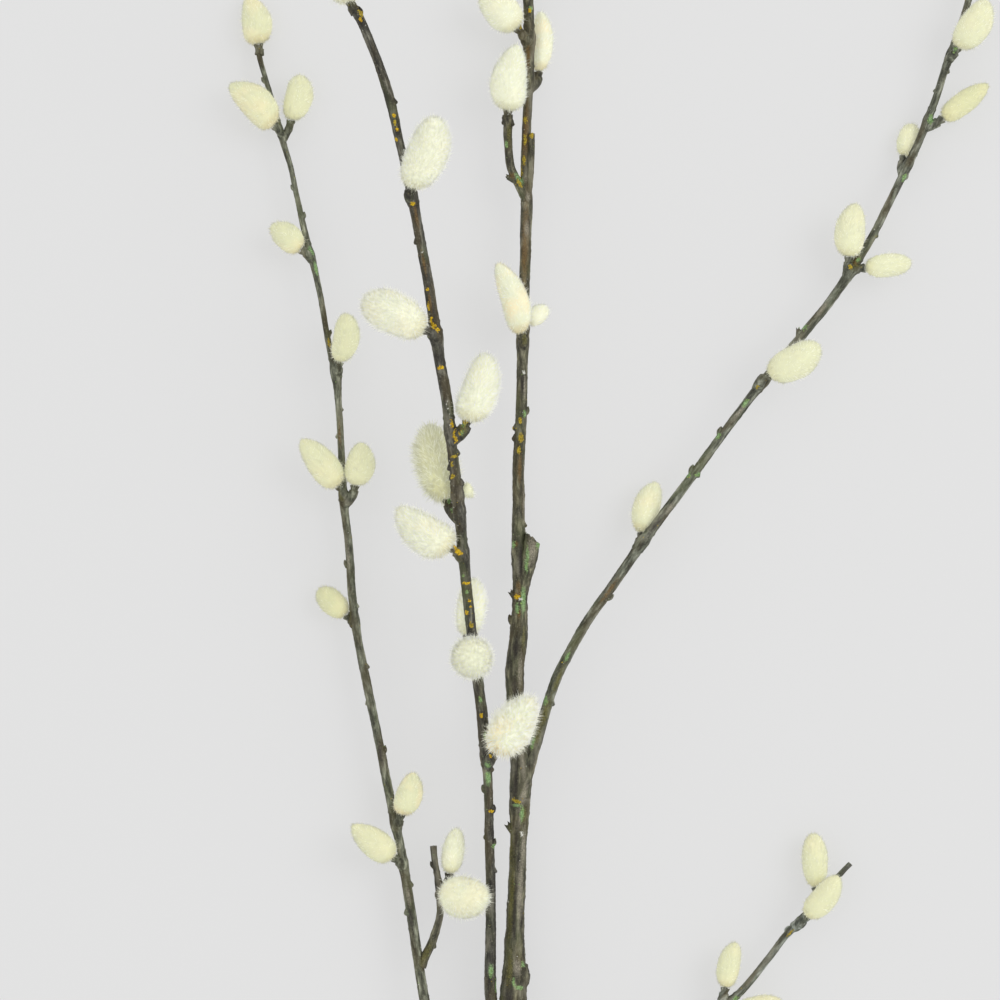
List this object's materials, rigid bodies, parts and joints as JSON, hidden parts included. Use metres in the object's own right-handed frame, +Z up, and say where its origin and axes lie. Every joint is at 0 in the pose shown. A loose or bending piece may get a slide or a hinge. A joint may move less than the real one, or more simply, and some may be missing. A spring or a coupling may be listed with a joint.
{
  "type": "willow twig",
  "caption": "Branching pussy willow twig with rough bark and furry egg-shaped catkins on short spurs, cut at its thick end, lying flat as a natural stem for arranging",
  "frame": {"origin": "Centre of the bounding box in X and Y, at the surface the twig lies on in Z", "axes": "+Y runs from the cut end to the tips, +X to the right as seen from above with the tips away from the viewer, +Z up from the surface"},
  "size_m": [0.2916, 0.617, 0.0891],
  "materials": {
    "bark": "rough dark grey-brown bark with lenticels, lichen and orange bud scars",
    "catkin_fur": "dense soft cream fur, yellower at the root and near white at the hairs' tips"
  },
  "bodies": {
    "root": {"branch": "bark", "catkin_front_01": "catkin_fur", "catkin_front_02": "catkin_fur", "catkin_front_03": "catkin_fur", "catkin_front_04": "catkin_fur", "catkin_front_05": "catkin_fur", "catkin_front_06": "catkin_fur", "catkin_front_07": "catkin_fur", "catkin_front_08": "catkin_fur", "catkin_front_09": "catkin_fur", "catkin_front_10": "catkin_fur", "catkin_left_01": "catkin_fur", "catkin_left_02": "catkin_fur", "catkin_left_03": "catkin_fur", "catkin_left_04": "catkin_fur", "catkin_left_05": "catkin_fur", "catkin_left_06": "catkin_fur", "catkin_left_07": "catkin_fur", "catkin_left_08": "catkin_fur", "catkin_left_09": "catkin_fur", "catkin_left_10": "catkin_fur", "catkin_left_11": "catkin_fur", "catkin_left_12": "catkin_fur", "catkin_left_side_01": "catkin_fur", "catkin_left_side_02": "catkin_fur", "catkin_low_01": "catkin_fur", "catkin_low_02": "catkin_fur", "catkin_low_03": "catkin_fur", "catkin_low_04": "catkin_fur", "catkin_low_05": "catkin_fur", "catkin_main_01": "catkin_fur", "catkin_main_02": "catkin_fur", "catkin_main_03": "catkin_fur", "catkin_main_04": "catkin_fur", "catkin_main_05": "catkin_fur", "catkin_main_06": "catkin_fur", "catkin_main_side_01": "catkin_fur", "catkin_right_01": "catkin_fur", "catkin_right_02": "catkin_fur", "catkin_right_03": "catkin_fur", "catkin_right_04": "catkin_fur", "catkin_right_05": "catkin_fur", "catkin_right_06": "catkin_fur", "catkin_right_07": "catkin_fur", "catkin_right_08": "catkin_fur", "catkin_right_09": "catkin_fur"}
  },
  "joints": []
}
